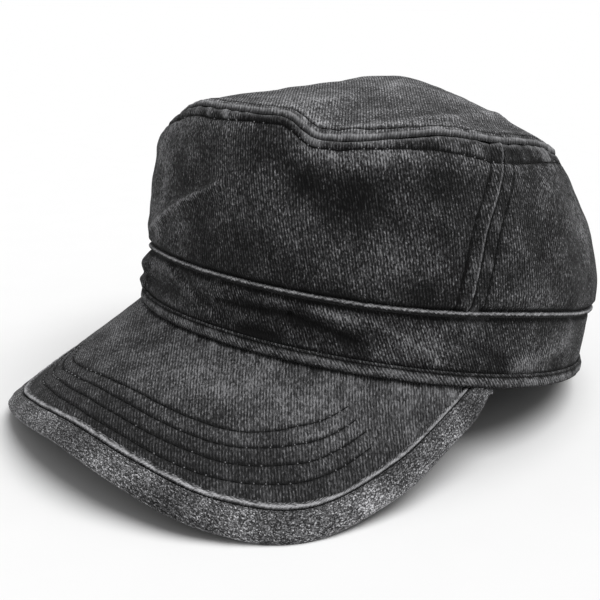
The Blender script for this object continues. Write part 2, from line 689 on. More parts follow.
# Soft folds of the top panel: their lines as x, y in mm, their width and height in mm, and how pale
DOME_FOLDS = [
    ([(44, -76), (53, -63), (57, -42), (53, -18), (44, 8)], 2.6, 0.8, 0.3),
    ([(36, -74), (45, -60), (49, -42), (45, -20)], 3.5, -0.5, -0.28),
    ([(24, -79), (21, -58), (21, -34), (8, -12)], 2.2, 0.45, 0.26),
    ([(30, -62), (29, -46)], 6, -0.4, -0.22),
    ([(-50, -60), (-58, -30), (-50, 10)], 3, 0.6, 0.2),
    ([(-20, 40), (15, 62), (50, 52)], 4, 0.6, 0.2),
    ([(-60, 30), (-40, 62)], 3, -0.5, -0.2),
]
DOME_ROLL = 4.2 * MM
DOME_ROLL_DROP = 2.3 * MM


def near_line(place, line, width):
    """A bell of the distance, seen from above, to the nearest stretch of a line."""
    nearest = np.full(place.shape[:-1], np.inf)
    for (x0, y0), (x1, y1) in zip(line, line[1:]):
        start, way = np.array((x0, y0)) * MM, np.array((x1 - x0, y1 - y0)) * MM
        share = np.clip((place[..., :2] - start) @ way / (way @ way), 0, 1)
        away = place[..., :2] - start - share[..., None] * way
        nearest = np.minimum(nearest, np.linalg.norm(away, axis=-1))
    return hill(nearest, width * MM)


def top_panel():
    """The dome: a polar grid over the seam's outline. Its edge rolls down into the seam in a quarter
    circle, with a groove of stitches just inside it, puckers between the two and soft folds."""
    around, rings = 520, 84
    angle = np.linspace(0, 360, around, endpoint=False)[:, None].repeat(rings, 1)
    share = (1 - (1 - np.linspace(0, 1, rings)) ** 1.55)[None].repeat(around, 0)
    base = dome(angle, share)
    away = (1 - share) * np.linalg.norm(dome(angle, share * 0 + 1)[..., :2], axis=-1)
    along = angle * ARC
    stitch = DOME_STITCH_INSET + 0.3 * MM * sway(along, 8 * MM, 6.6)
    gathers = pucker(along, away, 2.6 * MM, -0.6, 0.3, 6.1)
    puffs = pucker(along, away, 4.5 * MM, -0.6, 0.3, 1.4)
    broad, loose = cloth_noise(base, 22 * MM, 2.2), cloth_noise(base, 9 * MM, 7.7)
    small = cloth_noise(base, 4 * MM, 3.7)
    out = (0.7 * broad + 0.4 * loose + 0.14 * small) * ease(away, stitch, stitch + 9 * MM)
    out += 0.22 * (gathers + puffs) * hill(away - 2 * MM, 3.5 * MM)
    out += 0.35 * hill(away - 0.75 * MM, 0.45 * MM) - 0.5 * hill(away - stitch, 0.55 * MM)
    fade = 0.2 * broad + 0.16 * loose + 0.14 * small - 0.12 * hill(away, 3 * MM)
    fade += 0.25 * hill(away - stitch - 1.5 * MM, 2.4 * MM) * (0.6 + gathers)
    fade += 0.4 * (puffs + 0.6 * gathers) * hill(away - 2 * MM, 1.6 * MM)
    for line, width, height, pale in DOME_FOLDS:
        fold = near_line(base, line, width)
        out += height * fold
        fade += pale * fold * (0.8 + 0.4 * small)
    fade -= 0.9 * hill(away - stitch, 0.55 * MM) + 0.6 * hill(away, 0.2 * MM)
    rolled = 1 - np.minimum(away, DOME_ROLL) / DOME_ROLL
    normal = -grid_normals(base, True)
    normal[:, 0] = (0, 0, 1)
    normal *= np.sign(normal[..., 2:] + 1e-9)
    outer = base + normal * out[..., None] * MM
    outer[..., 2] -= DOME_ROLL_DROP * (1 - np.sqrt(np.maximum(0, 1 - rolled ** 2)))
    inner = outer - normal * (0.1 * MM + CLOTH_THICKNESS * ease(away, 0, 3 * MM))[..., None]
    rub = rubbed(base, 2.2 * MM, 3.3)
    wear = hill(away - 0.75 * MM, 0.42 * MM) * (0.2 + 0.6 * rub)
    wear += 0.25 * hill(away - 2.2 * MM, 1.2 * MM) * ease(puffs + gathers * 0.5, 0.1, 0.8)
    piece = two_faces("top_panel_cloth", outer, inner, True, base[..., :2], wear, fade)
    cloth = Cloth(outer, True)
    cloth.normals = normal
    ring = np.array([np.interp(-s, -row, np.arange(rings)) for s, row in zip(stitch[:, 0], away)])
    return piece, cloth, ring


dome_piece, dome_cloth, dome_ring = top_panel()

# Fine folds of the band, as in BAND_CREASES, and its washed places, as in CROWN_WASH
BAND_FOLDS = [
    (8, 0.66, 26, 0.74, 0.055, -0.05), (26, 0.74, 41, 0.5, 0.06, -0.055), (16, 0.3, 24, 0.3, 0.1, -0.04),
    (30, 0.9, 40, 0.8, 0.08, 0.035), (44, 0.82, 58, 0.35, 0.08, 0.035), (-12, 0.92, 8, 0.34, 0.07, 0.04),
    (-25, 0.5, -6, 0.5, 0.1, -0.045), (60, 0.7, 74, 0.4, 0.09, -0.03), (78, 0.35, 96, 0.6, 0.1, 0.025),
]
BAND_WASH = [
    (-15, 0.87, 8, 4, 0.35), (22, 0.93, 6, 2.5, 0.35), (36, 0.86, 11, 3, 0.45), (60, 0.6, 15, 5, 0.28),
    (20, 0.3, 8, 3, -0.6), (18, 0.7, 10, 2.2, -0.4), (29, 0.66, 8, 2.2, -0.5), (39, 0.5, 6, 2.2, -0.4),
    (48, 0.4, 8, 3, 0.15), (85, 0.6, 12, 6, 0.12), (72, 0.3, 7, 4, -0.25), (4, 0.5, 9, 4, -0.25),
    (140, 0.5, 16, 7, 0.2), (170, 0.6, 14, 6, -0.2), (-60, 0.6, 14, 6, 0.2), (-95, 0.4, 14, 6, -0.2),
]


def band_piece():
    """The band: folded where it turns the front corners, and soft wrinkles all round."""
    around, rows = 760, 44
    angle = np.linspace(0, 360, around, endpoint=False)[:, None].repeat(rows, 1)
    rise = np.linspace(0, 1.05, rows)[None].repeat(around, 0)
    base = band_face(angle, rise)
    height = band_top(angle)
    up, down = rise * height, np.maximum(0, 1 - rise) * height
    slant = base * (1, 1, 0.7)
    broad, loose = cloth_noise(slant, 15 * MM, 3.9), cloth_noise(slant, 6.5 * MM, 1.3)
    gathers = pucker(angle * ARC, up, 3 * MM, 0.5, 0.3, 7.2)
    folds = creased(BAND_FOLDS, angle, rise, height)
    clear = ease(up, WELT_HEIGHT, WELT_HEIGHT + 2.5 * MM) * ease(down, 0, 1.5 * MM)
    out = (0.4 * broad + 0.3 * loose) * clear + 0.18 * gathers * hill(up - WELT_HEIGHT - 2 * MM, 3 * MM)
    out -= 0.6 * hill(down, 0.8 * MM)
    outer = base + grid_normals(base, True) * (out * MM + folds * clear)[..., None]
    rub = rubbed(base, 2.6 * MM, 2.9)
    wear = 0.25 * ease(loose + 0.6 * broad, 0.3, 1.1) * rub
    fade = 1.3 * washed(BAND_WASH, angle, rise, height) + 0.2 * broad + 0.24 * loose + 0.4 * folds / MM
    fade += 0.2 * gathers * hill(up - WELT_HEIGHT - 2 * MM, 3 * MM)
    fade -= 0.85 * hill(down, 1.1 * MM) + 0.8 * hill(up - WELT_HEIGHT, 0.8 * MM)
    uv = np.stack([angle * ARC, up], -1)
    return cloth_piece("band_cloth", outer, True, BAND_THICKNESS, uv, wear, fade, 360 * ARC)


band = band_piece()


def ring_sections(line, profile, around):
    """A profile of [out, up] carried round the band on a line of places, one for each angle."""
    angle = np.linspace(0, 360, around, endpoint=False)
    place = line(angle)
    out = place / (BAND_HALF_WIDTH ** 2, BAND_HALF_LENGTH ** 2, 1)
    out[:, 2] = 0
    out /= np.linalg.norm(out, axis=1, keepdims=True)
    shape = profile(angle)
    points = place[:, None] + out[:, None] * shape[..., :1]
    points[..., 2] += shape[..., 1]
    return angle, points


def strip_map(along, across):
    """The UV map of a strip, in metres along it and across it."""
    return np.stack(np.broadcast_arrays(along[:, None], across), -1)


def rounded(profile, angle):
    """The same profile for every angle, to be shaped further."""
    return np.broadcast_to(np.array(profile)[None], (len(angle), len(profile), 2)).copy()


def piping():
    """The folded top of the band: full above and tucked in below, worn pale along its crest in short
    leaning ridges, as a cord twists."""
    inside = PIPING_PROUD - PIPING_THICKNESS - WELT_THICKNESS
    middle = (PIPING_HEIGHT - GAP) / 2
    turn = np.linspace(-np.pi / 2, np.pi / 2, 13)
    bulge = PIPING_PROUD - WELT_THICKNESS - 0.1 * MM - 0.75 * MM * ease(-turn, -0.35, 1.1)
    curve = np.stack([bulge - middle + middle * np.cos(turn), middle + middle * np.sin(turn)], -1)
    outline = np.concatenate([[(inside, 0)], curve, [(inside, 2 * middle)]])
    across = np.concatenate([[0], np.linspace(0, PIPING_HEIGHT * 1.6, 13), [PIPING_HEIGHT * 1.6]])

    def ridges(angle):
        return pucker((angle * ARC)[:, None], across[None], 0.66 * MM, 1.1, 0.3, 4.1)

    def profile(angle):
        shape = rounded(outline, angle)
        place = oval(angle)[:, None] + np.array([0, 0, 1]) * outline[None, :, 1:]
        soft = 0.2 * cloth_noise(place, 6 * MM, 2.1) + 0.16 * ridges(angle)
        shape[:, 1:-1, 0] += soft[:, 1:-1] * MM
        return shape

    def line(angle):
        place = oval(angle)
        place[:, 2] = band_top(angle) + GAP
        return place

    angle, points = ring_sections(line, profile, 1400)
    uv = strip_map(angle * ARC, across)
    crest = np.concatenate([[0], hill(turn - 0.62, 0.34), [0]])[None]
    below = np.concatenate([[1], ease(-turn, -0.3, 0.3), [0]])[None]
    patch = rubbed(points, 9 * MM, 5.5)
    wear = crest * (0.42 + 0.55 * ridges(angle) + 0.45 * patch)
    fade = 0.2 * crest + 0.5 * ridges(angle) - 1.1 * below
    return woven_mesh("piping_cloth", points, True, uv, wear, fade, 360 * ARC)


def welt():
    """The turned-up lower edge of the band: a soft bead with a row of stitches sunk above it."""
    height = WELT_HEIGHT
    outline = [(0, 0), (WELT_THICKNESS * 0.6, 0.05 * MM), (WELT_THICKNESS * 0.95, 0.5 * MM)]
    outline += [(WELT_THICKNESS * (0.98 + 0.22 * np.sin(np.pi * part / 0.76)), part * height)
                for part in (0.18, 0.27, 0.36, 0.45, 0.54, 0.63)]
    outline += [(WELT_THICKNESS * 0.9, height * 0.72), (WELT_THICKNESS * 0.45, height * 0.8)]
    outline += [(WELT_THICKNESS * 0.62, height * 0.88), (WELT_THICKNESS * 0.45, height * 0.97), (0, height)]

    def profile(angle):
        shape = rounded(outline, angle)
        ridge = pucker((angle * ARC)[:, None], shape[..., 1], 2.6 * MM, -0.5, 0.3, 7.3)
        shape[:, 1:-1, 0] += 0.2 * MM * ridge[:, 1:-1]
        return shape

    angle, points = ring_sections(lambda at: oval(at, -WELT_THICKNESS), profile, 760)
    up = points[..., 2]
    uv = strip_map(angle * ARC, up)
    rub = rubbed(points, 3 * MM, 1.9)
    wear = 0.35 * hill(up - 0.5 * height, 1.2 * MM) * ease(rub, 0.45, 0.9)
    fade = 0.3 * hill(up - 0.5 * height, 1.4 * MM) + 0.35 * (rub - 0.5)
    fade -= hill(up - 0.8 * height, 0.4 * MM) + 0.9 * hill(up, 0.5 * MM)
    piece = woven_mesh("welt_cloth", points, True, uv, wear, fade, 360 * ARC)
    return piece, points[:, 10], angle


piping_piece = piping()
welt_piece, welt_line, welt_angles = welt()

# How far the peak's pieces run in under the band, how far the cover ends short of the binding side
# of the rim, and how narrow cover, rim and binding get before they end at the sides
TUCK = 2.2 * MM
COVER_SHORT = 0.9 * MM
NARROWEST_COVER = 1.2 * MM
NARROWEST_RIM = 1 * MM
NARROWEST_BINDING = 1.5 * MM


def binding_width(share):
    return mix(BINDING_WIDTH_RIGHT, BINDING_WIDTH_LEFT, ease(np.asarray(share, float), -0.4, 0.9))


def rim_near(share):
    return binding_width(share) + GAP


def rim_far(share):
    return rim_near(share) + RIM_WIDTH


def peak_ends(width):
    """How far round to each side the peak is still wider than a length, which varies round it."""
    share = np.linspace(-1, 1, 8001)
    wide = share[peak_length(share) > width(share)]
    return wide.min(), wide.max()


def up_normals(points):
    normal = grid_normals(points, False)
    return normal * np.sign(normal[..., 2:] + 1e-12)


# The peak's rows of stitches: share, how far in the first row lies, and how far apart the rows are
ROW_PLACES = np.array([
    (-0.7, 22, 6.8), (-0.56, 19.5, 6), (-0.42, 17, 4.8), (-0.28, 15.6, 4.5), (0, 13.8, 5.2),
    (0.2, 14.7, 5.5), (0.35, 17, 5.9), (0.45, 19.2, 6.8), (0.56, 20.9, 7), (0.7, 23, 7),
])
# The shares of the peak's edge between which each row runs
ROW_ENDS = ((-0.5, 0.62), (-0.48, 0.61), (-0.46, 0.585), (-0.43, 0.56))


def row_inset(row, share):
    """How far in from the peak's edge a row of stitches lies: its places, swaying a little."""
    first, pitch = (np.interp(share, ROW_PLACES[:, 0], ROW_PLACES[:, k]) for k in (1, 2))
    return (first + pitch * row + 0.25 * sway(share * 60 * MM + row, 7 * MM, 1.9)) * MM


def edge_way(share):
    """Roughly how far along the peak's edge a share lies."""
    return share * 120 * MM


def board():
    """The peak's cover over its stiff board, from under the band to under the rim, with rows of
    stitches sunk in it and short puckers where it meets the band."""
    def near(share):
        return rim_near(share) + COVER_SHORT

    start, end = peak_ends(lambda share: near(share) + NARROWEST_COVER)
    columns, rows = 350, 140
    share = np.linspace(start, end, columns)[:, None].repeat(rows, 1)
    length = peak_length(share[:, :1])
    reach = mix(-TUCK / length, 1 - near(share[:, :1]) / length, np.linspace(0, 1, rows)[None])
    base = peak_face(share, reach)
    normal = up_normals(base)
    away, inward = reach * length, (1 - reach) * length
    along = edge_way(share)
    broad, loose = cloth_noise(base, 16 * MM, 6.6), cloth_noise(base, 6 * MM, 2.6)
    gathers = pucker(along, away, 2 * MM, 0.2, 0.25, 8.8)
    out = (0.35 * broad + 0.2 * loose) * ease(away, 0, 4 * MM)
    out += 0.22 * gathers * hill(away - 1 * MM, 4 * MM)
    out -= 0.35 * ease(inward, rim_far(share) + 0.4 * MM, near(share))
    fade = 0.2 * broad + 0.2 * loose + 0.2 * hill(away - 2 * MM, 2 * MM) * (0.7 + gathers)
    fade += 0.36 * hill(away - 13 * MM, 14 * MM) - 0.5 * hill(away, 0.8 * MM)
    fade += 0.12 * ease(-share, 0.1, 0.5) - 0.22 * ease(inward, 34 * MM, 18 * MM)
    for row, (first, last) in enumerate(ROW_ENDS):
        shown = ease(share, first, first + 0.1) * (1 - ease(share, last - 0.05, last))
        groove = hill(inward - row_inset(row, share), 0.6 * MM) * shown
        out -= 0.45 * groove
        fade -= 0.75 * groove
    rub = rubbed(base, 2.4 * MM, 3.1)
    wear = 0.15 * hill(away - 2 * MM, 2 * MM) * ease(gathers, 0.2, 0.9) + 0.1 * rub * ease(loose, 0.2, 0.9)
    outer = base + normal * out[..., None] * MM
    inner = base - normal * PEAK_THICKNESS
    uv = np.stack([base[..., 0], np.hypot(base[..., 1], base[..., 2]) - BAND_HALF_LENGTH], -1)
    piece = two_faces("peak_cloth", outer, inner, False, uv, wear, fade, worn=0, faded=0)
    return piece, outer, normal, inward, share


peak_piece, peak_outer, peak_normal, peak_inward, peak_share = board()


def strip_sections(near, far, profile, narrowest, columns):
    """A profile of [share from far to near, up] carried along the peak's edge."""
    start, end = peak_ends(lambda share: near(share) + narrowest)
    share = np.linspace(start, end, columns)
    length = peak_length(share)
    grid = peak_face(share[:, None].repeat(5, 1), np.linspace(0, 1, 5)[None].repeat(columns, 0))
    normal = up_normals(grid)[:, 2]
    first = np.maximum(-TUCK / length, 1 - far(share) / length)
    tucked = 3.4 * MM * ease(np.abs(share), 0.9, 1)
    last = 1 - (near(share) + tucked) / length
    first = np.minimum(first, last - 0.5 * MM / length)
    shape = profile(share)
    reach = mix(first[:, None], last[:, None], shape[..., 0])
    points = peak_face(share[:, None].repeat(shape.shape[1], 1), reach)
    along = np.concatenate([[0], np.cumsum(np.linalg.norm(np.diff(peak_edge(share), axis=0), axis=1))])
    return along, points + normal[:, None] * shape[..., 1:]


def rim():
    """The folded edge of the peak's cover: it rises slowly out of the cover to a crest that is worn
    nearly white in short leaning ridges, and drops steeply on its outer side."""
    columns = 640
    part = np.linspace(0, 1, 15)
    lift = RIM_PROUD * (0.85 * ease(part, 0, 0.62) - 1.0 * ease(part, 0.88, 1)) - 0.15 * MM
    across = np.concatenate([part * 3 * MM, [6 * MM, -3 * MM]])

    def ridges(share):
        return pucker(edge_way(share)[:, None], across[None], 0.85 * MM, 1.2, 0.3, 4.7)

    def profile(share):
        outline = np.concatenate([np.stack([part, lift], -1), [(1, -PEAK_THICKNESS), (0, -PEAK_THICKNESS)]])
        shape = rounded(outline, share)
        place = peak_edge(share)[:, None] + np.array([0, 1, 1]) * outline[None, :, 1:]
        soft = 0.22 * ridges(share) + 0.22 * cloth_noise(place, 5 * MM, 4.7)
        shape[:, 3:13, 1] += soft[:, 3:13] * MM
        wavy = 0.08 * cloth_noise(place, 7 * MM, 8.4)
        shape[:, 6:14, 0] += wavy[:, 6:14] * ease(part, 0.4, 0.8)[None, 6:14]
        return shape

    along, points = strip_sections(rim_near, rim_far, profile, NARROWEST_RIM, columns)
    share = np.linspace(*peak_ends(lambda s: rim_near(s) + NARROWEST_RIM), columns)
    uv = strip_map(along, across)
    crest = np.concatenate([hill(part - 0.68, 0.24), [0, 0]])[None]
    patch = rubbed(points, 8 * MM, 6.4)
    wear = crest * (0.55 + 0.65 * ridges(share) + 0.4 * patch)
    fade = 0.4 * crest + 0.4 * ridges(share) - 0.8 * np.concatenate([hill(part - 1, 0.06), [1, 0]])[None]
    return woven_mesh("peak_rim_cloth", points, False, uv, wear, fade)


def binding():
    """The heather strip bound over the peak's outer edge, round at the edge and flat beneath. It
    thins towards both ends, which are tucked under the welt."""
    thick = PEAK_THICKNESS + 2 * BINDING_PROUD
    half = thick / 2
    turn = np.linspace(np.pi / 2, -np.pi / 2, 13)
    flat = [(-0.03, -0.7 * MM), (0.01, 0.1 * MM), (0.06, BINDING_PROUD * 0.85)]
    flat += [(part, BINDING_PROUD) for part in (0.2, 0.3, 0.4, 0.5, 0.6)]
    roll = 0.24
    edge = [(1 - roll + roll * np.cos(t), half * np.sin(t) - half + BINDING_PROUD) for t in turn]
    bottom = [(part, BINDING_PROUD - thick) for part in (0.6, 0.4, 0.2, 0)]
    outline = np.array(flat + edge + bottom)
    # Places of the outline: the roll's shoulder and crest, and where it has turned under
    shoulder, crest, under_from, under_to = 11, 15, 16, 19

    def profile(share):
        shape = rounded(outline, share)
        place = peak_edge(share)[:, None] + np.array([0, 1, 0]) * outline[None, :, :1] * 9 * MM
        soft = 0.3 * cloth_noise(place, 5 * MM, 1.1) + 0.14 * cloth_noise(place, 1.8 * MM, 9.3)
        shape[:, 2:20, 1] += soft[:, 2:20] * MM
        thin = mix(0.55, 1, ease(peak_length(share), 2 * MM, 9 * MM))[:, None]
        shape[..., 1] = (shape[..., 1] - BINDING_PROUD) * thin + BINDING_PROUD * (2 * thin - 1)
        return shape

    along, points = strip_sections(lambda share: share * 0, binding_width, profile, NARROWEST_BINDING, 560)
    step = np.linalg.norm(np.diff(points[len(points) // 2], axis=0), axis=1)
    across = np.concatenate([[0], np.cumsum(step)])
    uv = strip_map(along, across)
    rub = rubbed(points, 3 * MM, 7.9)
    patch = cloth_noise(points, 9 * MM, 3.6)
    wear = hill(across - across[crest], 0.7 * MM) + 0.3 * hill(across - across[shoulder], 2 * MM)
    under = ease(across, across[under_from], across[under_to])
    fade = 0.3 * patch - 0.9 * hill(across, 0.9 * MM)[None] - 0.65 * under[None]
    return woven_mesh("peak_binding_cloth", points, False, uv, wear[None] * rub, fade)


rim_piece = rim()
binding_piece = binding()


def crown_stitches():
    """Topstitch below the top seam, on both sides of the side seams, and inside the dome's edge."""
    runs, holes = [], []
    for cloth, (angle, rise, height) in ((front_cloth, front_places), (rear_cloth, rear_places)):
        columns, rows = rise.shape
        level = 1 - topstitch_drop(angle[:, -1]) / height[:, -1]
        line = np.array([np.interp(at, up, np.arange(rows)) for at, up in zip(level, rise)])
        u = np.linspace(0, columns - 1, 900)
        level = np.interp(u, np.arange(columns), line)
        runs.append(cloth.run(u, level))
        holes.append(cloth.run(u, level, **HOLES))
    angle, rise, height = front_places
    columns, rows = rise.shape
    v = np.linspace(2, rows - 4, 300)
    share = (angle - angle[0]) / (angle[-1] - angle[0])
    inset = FOLD_STITCH_INSET / ARC / (angle[-1] - angle[0])
    for side in (inset, 1 - inset):
        column = np.array([np.interp(*pair, np.arange(columns)) for pair in zip(side, share.T)])
        runs.append(front_cloth.run(np.interp(v, np.arange(rows), column), v))
    for cloth, side in ((seam_left_cloth, SIDE_STITCH_SHARE), (seam_right_cloth, 1 - SIDE_STITCH_SHARE)):
        columns, rows = cloth.grid.shape[:2]
        v = np.linspace(2, rows - 6, 300)
        runs.append(cloth.run(v * 0 + side * (columns - 1), v))
    around = len(dome_ring)
    u = np.linspace(0, around, 1201)[:-1]
    level = np.interp(u, np.arange(around + 1), np.append(dome_ring, dome_ring[0]))
    runs.append(dome_cloth.run(u, level, closed=True))
    return stitches("crown_stitches", runs), holes


def band_stitches():
    outward = oval(welt_angles) / (BAND_HALF_WIDTH ** 2, BAND_HALF_LENGTH ** 2, 1)
    outward /= np.linalg.norm(outward, axis=1, keepdims=True)
    return stitches("band_stitches", [stitch_run(welt_line, outward, closed=True)])


def peak_stitches():
    """Rows of stitches over the peak, and the pale flecks of cloth between them, at the holes."""
    runs, holes = [], []
    places = np.arange(peak_inward.shape[1])
    for row, (first, last) in enumerate(ROW_ENDS):
        at = np.flatnonzero((peak_share[:, 0] > first) & (peak_share[:, 0] < last)).astype(float)
        level = np.array([np.interp(-row_inset(row, peak_share[i, 0]), -peak_inward[i], places)
                          for i in at.astype(int)])
        path, up = on_grid(peak_outer, at, level, False), on_grid(peak_normal, at, level, False)
        runs.append(stitch_run(path, up, thread=0.4 * MM, length=0.94))
        holes.append(stitch_run(path, up, **HOLES))
    return stitches("peak_stitches", runs), holes


# Sizes of a fleck, as stitch_run takes them
HOLES = {"length": 0.14, "thread": 0.5 * MM, "lift": 0.9, "holes": True}
crown_thread, crown_holes = crown_stitches()
band_thread = band_stitches()
peak_thread, peak_holes = peak_stitches()
hole_flecks = stitches("hole_flecks", crown_holes + peak_holes)


# How much bluer than grey the dyes are
COOL = 1.03


class Finish:
    """A node material, with short ways to add its nodes."""

    def __init__(self, name):
        self.material = bpy.data.materials.new(name)
        self.material.use_nodes = True
        self.tree = self.material.node_tree
        self.tree.nodes.clear()
        self.output = self.tree.nodes.new("ShaderNodeOutputMaterial")
        self.shader = self.tree.nodes.new("ShaderNodeBsdfPrincipled")
        self.tree.links.new(self.shader.outputs["BSDF"], self.output.inputs["Surface"])

    def put(self, value, socket):
        if isinstance(value, bpy.types.NodeSocket):
            self.tree.links.new(value, socket)
        else:
            socket.default_value = value

    def node(self, kind, out=0, settings=None, **inputs):
        made = self.tree.nodes.new(kind)
        for key, value in (settings or {}).items():
            setattr(made, key, value)
        for key, value in inputs.items():
            place = int(key[1:]) if key[0] == "i" and key[1:].isdigit() else key.replace("_", " ")
            self.put(value, made.inputs[place])
        return made.outputs[out]

    def cloth(self):
        """Places on the cloth in metres, along it and up it."""
        return self.node("ShaderNodeUVMap", settings={"uv_map": "cloth"})

    def place(self):
        """Places in the cap's own space."""
        return self.node("ShaderNodeTexCoord", out=3)

    def maths(self, operation, a, b=0.0, c=0.0):
        return self.node("ShaderNodeMath", settings={"operation": operation}, i0=a, i1=b, i2=c)

    def total(self, start, *terms):
        """start plus the sum of share * value over the terms."""
        for value, share in terms:
            start = self.maths("MULTIPLY_ADD", value, share, start)
        return start

    def scaled(self, vector, scale, turn=0.0):
        return self.node("ShaderNodeMapping", Vector=vector, Scale=scale, Rotation=(0, 0, turn))

    def threads(self, vector, across, along, turn=0.0):
        """The vector measured in threads of that width and length."""
        return self.scaled(vector, (1 / across, 1 / along, 1), turn)

    def stripes(self, vector, axis, pitch, drift, amount):
        """A sine along an axis of the vector, pushed to and fro by the drift."""
        at = self.node("ShaderNodeSeparateXYZ", out=axis, Vector=vector)
        return self.maths("SINE", self.total(self.maths("MULTIPLY", at, 2 * np.pi / pitch), (drift, amount)))

    def centred(self, level, *terms):
        """level plus the sum of share * (value - 1/2) over the terms."""
        return self.total(level - 0.5 * sum(share for _, share in terms), *terms)

    def noise(self, vector, scale, detail=2.0, rough=0.5):
        return self.node("ShaderNodeTexNoise", Vector=vector, Scale=scale, Detail=detail, Roughness=rough)

    def cells(self, vector):
        """A random value for each cell of a Voronoi pattern one unit across."""
        colour = self.node("ShaderNodeTexVoronoi", out=1, Vector=vector, Scale=1.0)
        return self.node("ShaderNodeSeparateColor", Color=colour)

    def ramp(self, value, low, high, start=0.0, stop=1.0):
        return self.node("ShaderNodeMapRange", settings={"interpolation_type": "SMOOTHSTEP"},
                         Value=value, From_Min=low, From_Max=high, To_Min=start, To_Max=stop)

    def blend(self, share, a, b):
        return self.node("ShaderNodeMix", out=2, settings={"data_type": "RGBA"}, i0=share, i6=a, i7=b)

    def between(self, dark, pale, share):
        """A grey of dark * (pale / dark)^share, as equal steps of dye look to the eye."""
        value = self.maths("MULTIPLY", self.maths("POWER", pale / dark, self.clip(share, -0.1, 1.15)), dark)
        blue = self.maths("MULTIPLY", value, COOL)
        return self.node("ShaderNodeCombineColor", Red=value, Green=value, Blue=blue)

    def clip(self, value, low, high):
        return self.maths("MAXIMUM", self.maths("MINIMUM", value, high), low)

    def attribute(self, name):
        return self.node("ShaderNodeAttribute", out=2, settings={"attribute_name": name})

    def surface(self, colour, roughness, height, depth, sheen=0.0, gloss=0.15):
        bump = self.node("ShaderNodeBump", Height=height, Distance=depth, Strength=1.0)
        self.put(colour, self.shader.inputs["Base Color"])
        self.put(roughness, self.shader.inputs["Roughness"])
        self.put(bump, self.shader.inputs["Normal"])
        self.shader.inputs["Sheen Weight"].default_value = sheen
        self.shader.inputs["Sheen Roughness"].default_value = 0.6
        self.shader.inputs["Specular IOR Level"].default_value = gloss


def grey(value, cool=COOL):
    return (value, value, value * cool, 1)


# The twill's wales, and how deep the bump of either cloth is
WALE_PITCH = 1.0 * MM
CLOTH_BUMP = 0.3 * MM


def twill(name, dark, pale, worn, slant, level=0.5, streaks=1.0):
    """Washed twill. Its dye lies between dark and pale by a share that adds up streaks of weft along
    the slant, in degrees, faint wales across it, clouds of two sizes, scattered pale flecks and the
    fade attribute. The wear attribute bares the threads, streak by streak."""
    f = Finish(name)
    place = f.place()
    grain = f.scaled(f.cloth(), (1, 1, 1), np.radians(slant))
    streak = f.noise(f.threads(grain, 0.34 * MM, 1.35 * MM), 1.0, 2, 0.6)
    ends = f.cells(f.threads(grain, 0.4 * MM, 0.85 * MM))
    slub = f.noise(f.threads(grain, 1.2 * MM, 7 * MM), 1.0, 2, 0.5)
    wale = f.stripes(grain, 0, WALE_PITCH, f.noise(place, 300, 2), 2.0)
    fine = f.noise(place, 1500, 2, 0.6)
    cloud = f.noise(place, 28, 4, 0.6)
    patch = f.noise(place, 95, 4, 0.65)
    fleck = f.ramp(f.noise(place, 900, 1, 0.5), 0.66, 0.76, 0, 0.4)
    share = f.centred(level, (streak, 1.7 * streaks), (ends, 0.65 * streaks), (slub, 0.4), (fine, 1.0),
                      (cloud, 0.42), (patch, 0.62))
    share = f.total(share, (wale, 0.22 * streaks), (f.attribute("fade"), 0.75), (fleck, 1.0))
    bare = f.maths("MULTIPLY", f.attribute("wear"), f.ramp(streak, 0.3, 0.62, 0.45, 1.35))
    colour = f.blend(f.clip(bare, 0.0, 1.0), f.between(dark, pale, share), grey(worn))
    height = f.total(patch, (streak, 1.2), (ends, 0.25), (wale, 0.4), (fine, 0.4))
    f.surface(colour, f.ramp(fine, 0.3, 0.7, 0.84, 0.98), height, CLOTH_BUMP, 0.02)
    return f.material


def heather(name, dark, light):
    """Heather binding: light and dark ends mixed at random, in short flecks that run with the strip
    in rows, with dark pits between them."""
    f = Finish(name)
    cloth = f.cloth()
    grain = f.scaled(cloth, (1, 1, 1), np.radians(-12))
    fleck = f.cells(f.threads(grain, 0.55 * MM, 0.3 * MM))
    blur = f.noise(f.threads(grain, 0.6 * MM, 0.32 * MM), 1.0, 2, 0.6)
    cross = f.noise(f.threads(cloth, 0.42 * MM, 0.8 * MM, np.radians(35)), 1.0, 2, 0.6)
    rows = f.stripes(cloth, 1, 1.1 * MM, cross, 5.0)
    share = f.centred(0.51, (fleck, 0.8), (blur, 1.55), (cross, 1.05), (f.noise(f.place(), 60, 3, 0.6), 0.8))
    share = f.total(share, (rows, 0.06), (f.attribute("fade"), 0.6), (f.attribute("wear"), 0.35))
    height = f.total(f.maths("MULTIPLY", cross, 0.8), (fleck, 0.5), (blur, 0.8), (rows, 0.15))
    f.surface(f.between(dark, light, share), f.ramp(cross, 0.3, 0.7, 0.85, 0.98), height, CLOTH_BUMP, 0.03)
    return f.material


def thread_finish(name, value):
    """Spun thread: fine noise in colour and bump."""
    f = Finish(name)
    ply = f.noise(f.place(), 2600, 2, 0.6)
    colour = f.blend(f.ramp(ply, 0.35, 0.7), grey(value * 0.5), grey(value * 1.8))
    f.surface(colour, f.ramp(ply, 0.3, 0.7, 0.6, 0.8), ply, 0.1 * MM)
    return f.material


